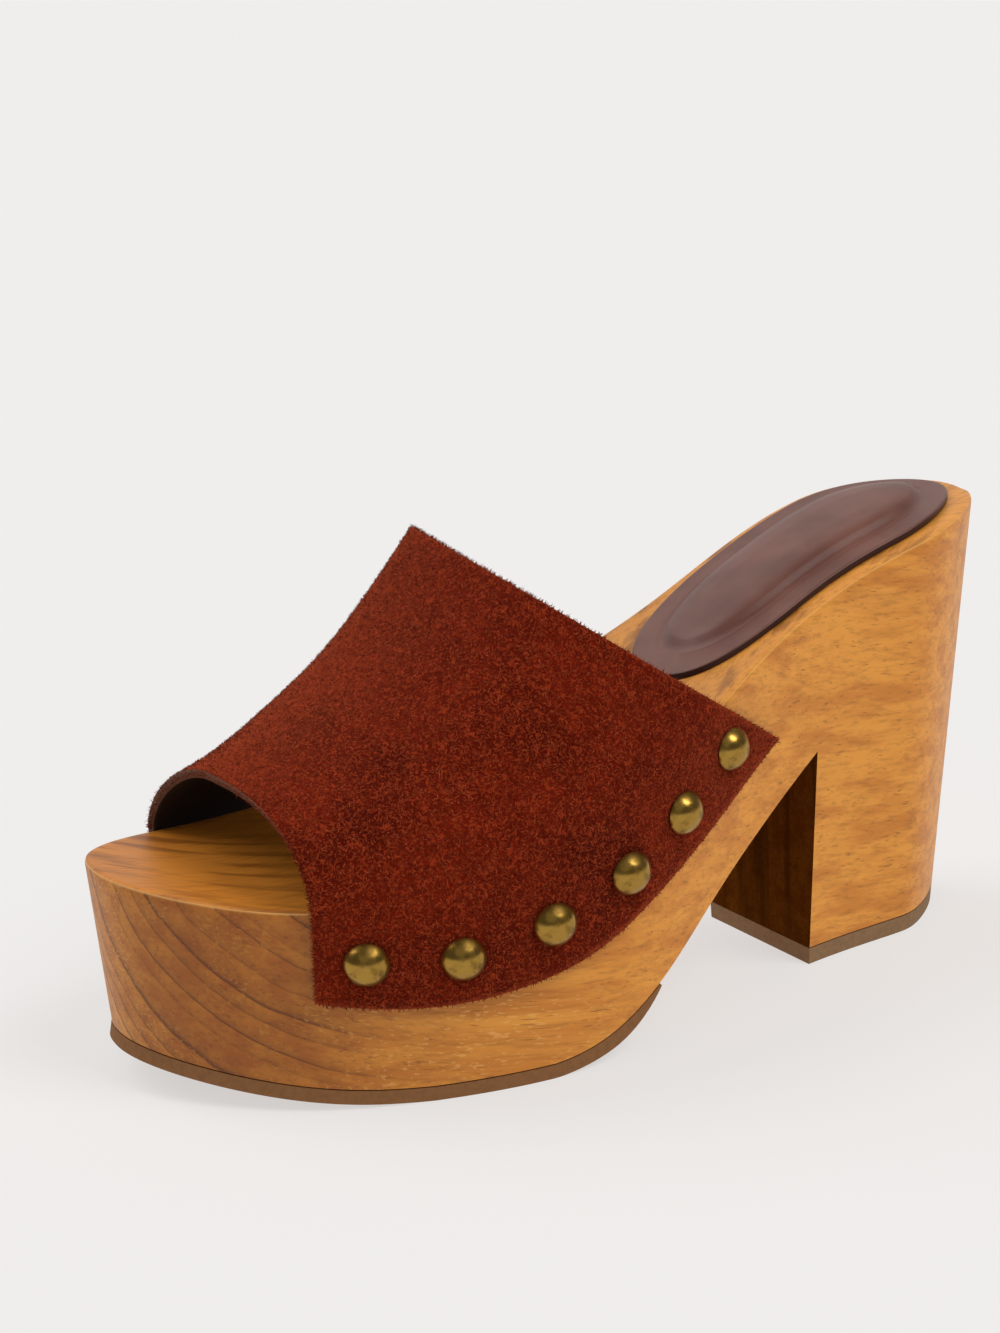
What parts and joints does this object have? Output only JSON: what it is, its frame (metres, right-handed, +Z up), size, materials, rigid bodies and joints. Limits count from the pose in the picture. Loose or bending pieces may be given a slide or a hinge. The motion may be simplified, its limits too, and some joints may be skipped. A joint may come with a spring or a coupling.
{
  "type": "platform clog",
  "caption": "Open-toe mule clog for the left foot: wooden platform with a high block heel and a deep suede vamp held by domed nails.",
  "frame": {"origin": "centre of the shoe's footprint box, on the floor that the outsole and the heel lift stand on", "axes": "+Z up; -Y towards the toe and +Y towards the heel; +X towards the outer (lateral) side of the left foot"},
  "size_m": [0.1016, 0.2318, 0.1138],
  "materials": {
    "wood": "satin",
    "suede": "napped suede",
    "pad_leather": "smooth, soft sheen",
    "outsole_rubber": "matte",
    "aged_brass": "aged, half gloss"
  },
  "bodies": {
    "root": {"wood_base": "wood", "forefoot_outsole": "outsole_rubber", "heel_lift": "outsole_rubber", "suede_upper": "suede", "heel_pad": "pad_leather", "nail_outer_1": "aged_brass", "nail_outer_2": "aged_brass", "nail_outer_3": "aged_brass", "nail_outer_4": "aged_brass", "nail_outer_5": "aged_brass", "nail_outer_6": "aged_brass", "nail_inner_1": "aged_brass", "nail_inner_2": "aged_brass", "nail_inner_3": "aged_brass", "nail_inner_4": "aged_brass", "nail_inner_5": "aged_brass", "nail_inner_6": "aged_brass"}
  },
  "joints": []
}
